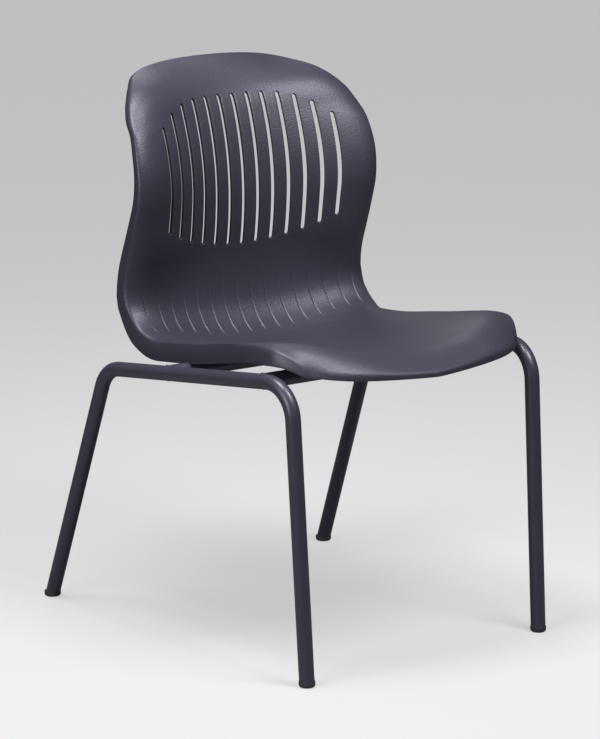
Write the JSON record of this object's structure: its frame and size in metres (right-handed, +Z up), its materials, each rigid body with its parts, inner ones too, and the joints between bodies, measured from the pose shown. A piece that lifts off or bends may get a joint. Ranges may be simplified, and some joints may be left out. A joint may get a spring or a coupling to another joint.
{
  "type": "slatted shell chair",
  "caption": "Armless hall chair: one-piece plastic seat and back shell with vertical vent slots, turned-down edges and a waterfall front, on a welded steel tube frame with floor glides.",
  "frame": {"origin": "on the floor, under the middle of the overall footprint", "axes": "+Z up, the sitter faces -Y, +X is the sitter's left"},
  "size_m": [0.5528, 0.6306, 0.8297],
  "materials": {
    "shell_plastic": "near-black slate polypropylene with a fine matt grain",
    "frame_paint": "satin dark grey powder coat on steel tube",
    "glide_plastic": "moulded black nylon",
    "insert_brass": "turned, dull",
    "screw_steel": "zinc plated"
  },
  "bodies": {
    "root": {"seat_shell": "shell_plastic", "right_side_frame": "frame_paint", "left_side_frame": "frame_paint", "front_cross_tube": "frame_paint", "rear_cross_tube": "frame_paint", "front_right_tab": "frame_paint", "front_left_tab": "frame_paint", "rear_right_tab": "frame_paint", "rear_left_tab": "frame_paint", "front_right_insert": "insert_brass", "front_left_insert": "insert_brass", "rear_right_insert": "insert_brass", "rear_left_insert": "insert_brass", "front_right_screw": "screw_steel", "front_left_screw": "screw_steel", "rear_right_screw": "screw_steel", "rear_left_screw": "screw_steel", "front_right_glide": "glide_plastic", "front_left_glide": "glide_plastic", "rear_right_glide": "glide_plastic", "rear_left_glide": "glide_plastic"}
  },
  "joints": []
}
